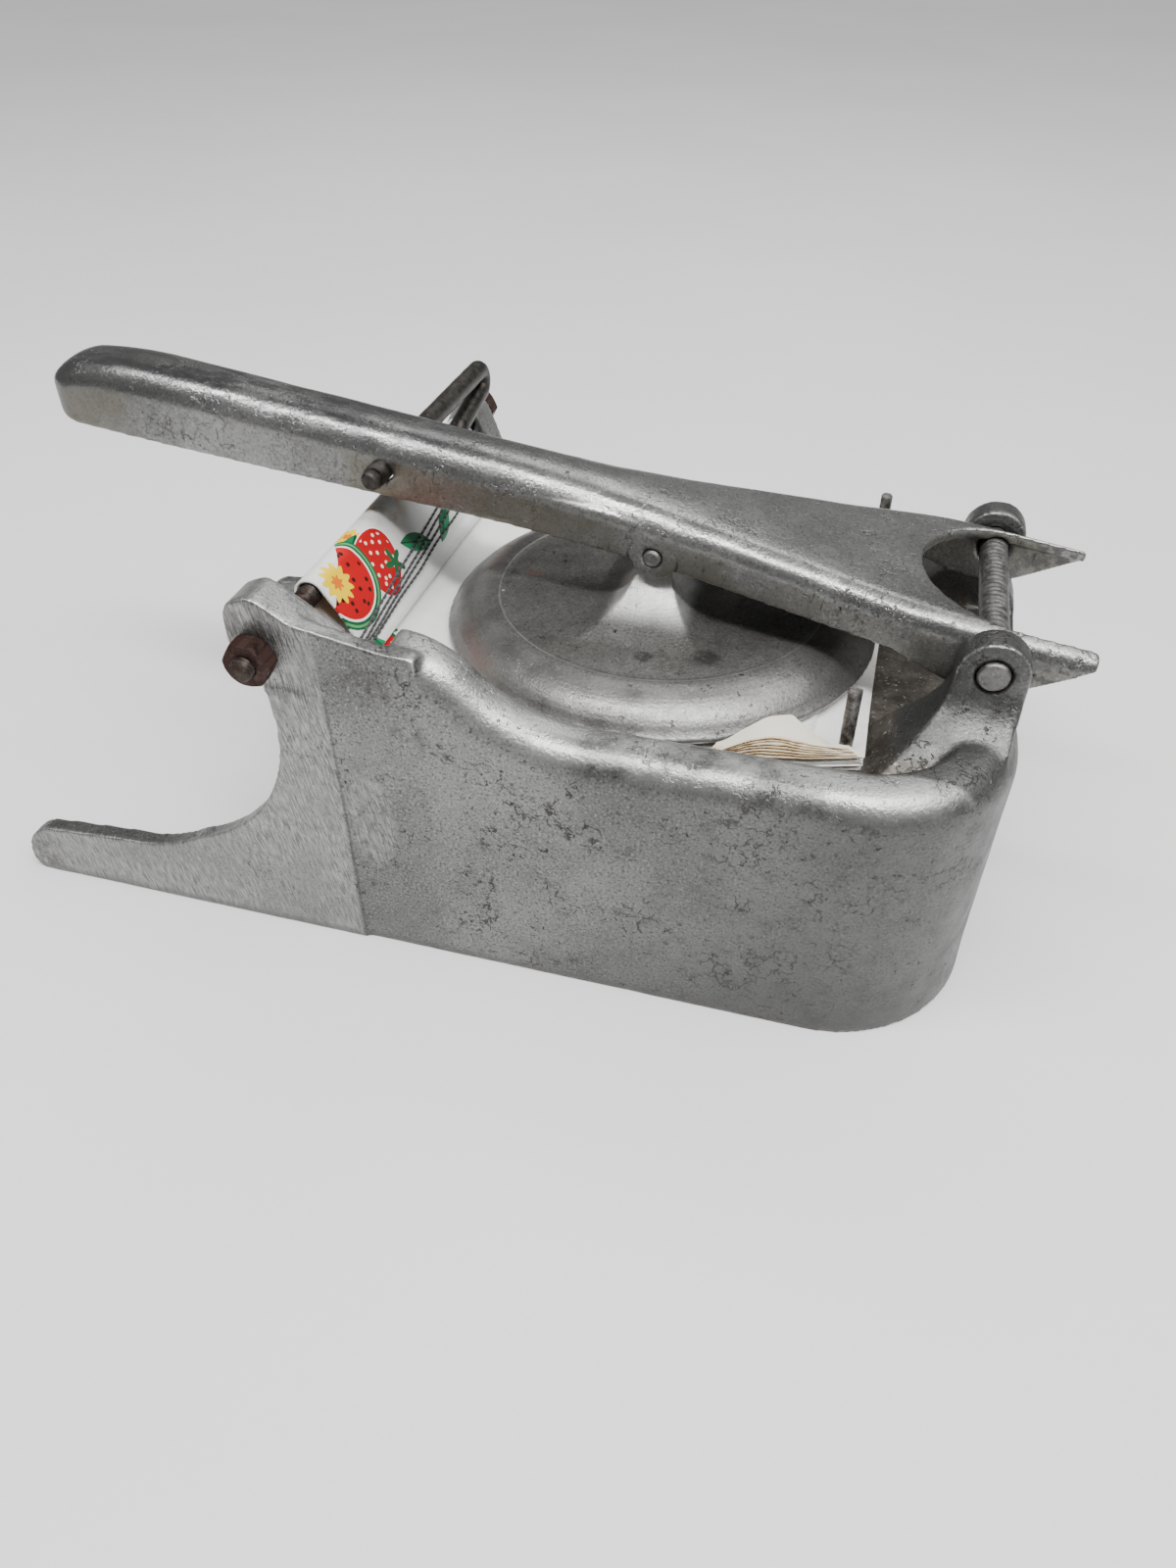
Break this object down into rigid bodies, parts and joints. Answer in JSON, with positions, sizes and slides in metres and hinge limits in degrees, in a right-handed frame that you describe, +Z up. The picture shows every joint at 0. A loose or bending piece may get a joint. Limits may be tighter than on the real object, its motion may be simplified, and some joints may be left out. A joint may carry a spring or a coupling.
{
  "type": "patty press",
  "caption": "Manual lever press with a cast base, a forked lever hinged at the rear and a round platen that flattens a patty on a stack of papers.",
  "frame": {"origin": "centre of the whole press's bounding box, on the table", "axes": "+Z up; +X along the lever from the grip end to the pivot; +Y across the press"},
  "size_m": [0.2998, 0.175, 0.1371],
  "materials": {
    "cast_aluminium": "satin",
    "steel": "satin",
    "dark_steel": "matte",
    "paper": "matte",
    "vinyl": "gloss",
    "thread": "matte"
  },
  "bodies": {
    "base": {"base_casting": "cast_aluminium", "pivot_pin": "steel", "front_rod": "dark_steel", "near_rod_nut": "dark_steel", "far_rod_nut": "dark_steel", "near_paper_post": "steel", "far_paper_post": "steel", "paper_stack": "paper", "lower_curled_sheets": "paper", "upper_curled_sheets": "paper", "vinyl_strip": "vinyl", "hem_thread": "thread"},
    "lever": {"lever_handle": "cast_aluminium", "link_pin": "steel", "cross_rod": "steel"},
    "platen": {"press_platen": "cast_aluminium"}
  },
  "joints": [
    {"name": "lever_lift", "type": "hinge", "parent": "base", "child": "lever", "pos_m": [0.125, 0, 0.096], "axis": [0, 1, 0], "range_deg": [0, 60]},
    {"name": "platen_tilt", "type": "hinge", "parent": "lever", "child": "platen", "pos_m": [0.035, 0, 0.102], "axis": [0, 1, 0], "range_deg": [-10, 0]}
  ],
  "couplings": [
    {"joint": "platen_tilt", "follows": "lever_lift", "ratio": -0.16}
  ]
}
